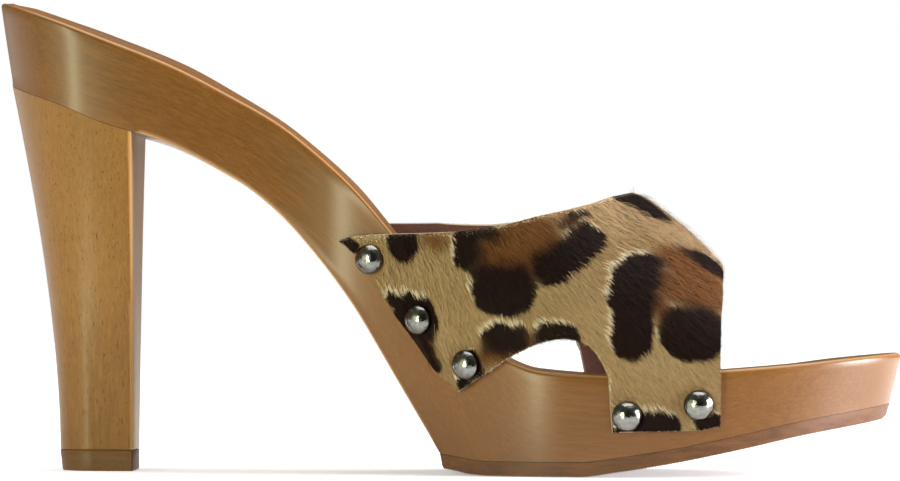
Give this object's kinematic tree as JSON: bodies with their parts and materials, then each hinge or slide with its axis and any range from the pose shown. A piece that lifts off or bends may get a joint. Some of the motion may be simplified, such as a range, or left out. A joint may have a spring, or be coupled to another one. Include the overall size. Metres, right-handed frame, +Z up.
{
  "type": "clog sandal",
  "caption": "High-heeled clog sandal with a wooden platform sole, a separate wooden heel and a leopard-print leather upper, open at the toe, the back and the sides.",
  "frame": {"origin": "centre of the bounding box's bottom face, on the floor", "axes": "+X towards the toe, +Y towards the foot's inner side, +Z up"},
  "size_m": [0.22, 0.0946, 0.1138],
  "materials": {
    "sole_wood": "satin varnish, grain along the sole",
    "heel_wood": "satin varnish, upright grain with short dark flecks",
    "tip_rubber": "smooth brown",
    "outsole_rubber": "brown with a finely serrated tread edge",
    "hair_leather": "short hair with a leopard print, smooth dark red-brown inside",
    "stud_chrome": "polished"
  },
  "bodies": {
    "root": {"sole": "sole_wood", "heel": "heel_wood", "heel_tip": "tip_rubber", "outsole": "outsole_rubber", "upper": "hair_leather", "stud_outer_rear_top": "stud_chrome", "stud_outer_rear_middle": "stud_chrome", "stud_outer_rear_bottom": "stud_chrome", "stud_outer_front_rear": "stud_chrome", "stud_outer_front_toe": "stud_chrome", "stud_inner_rear_top": "stud_chrome", "stud_inner_rear_middle": "stud_chrome", "stud_inner_rear_bottom": "stud_chrome", "stud_inner_front_rear": "stud_chrome", "stud_inner_front_toe": "stud_chrome"}
  },
  "joints": []
}
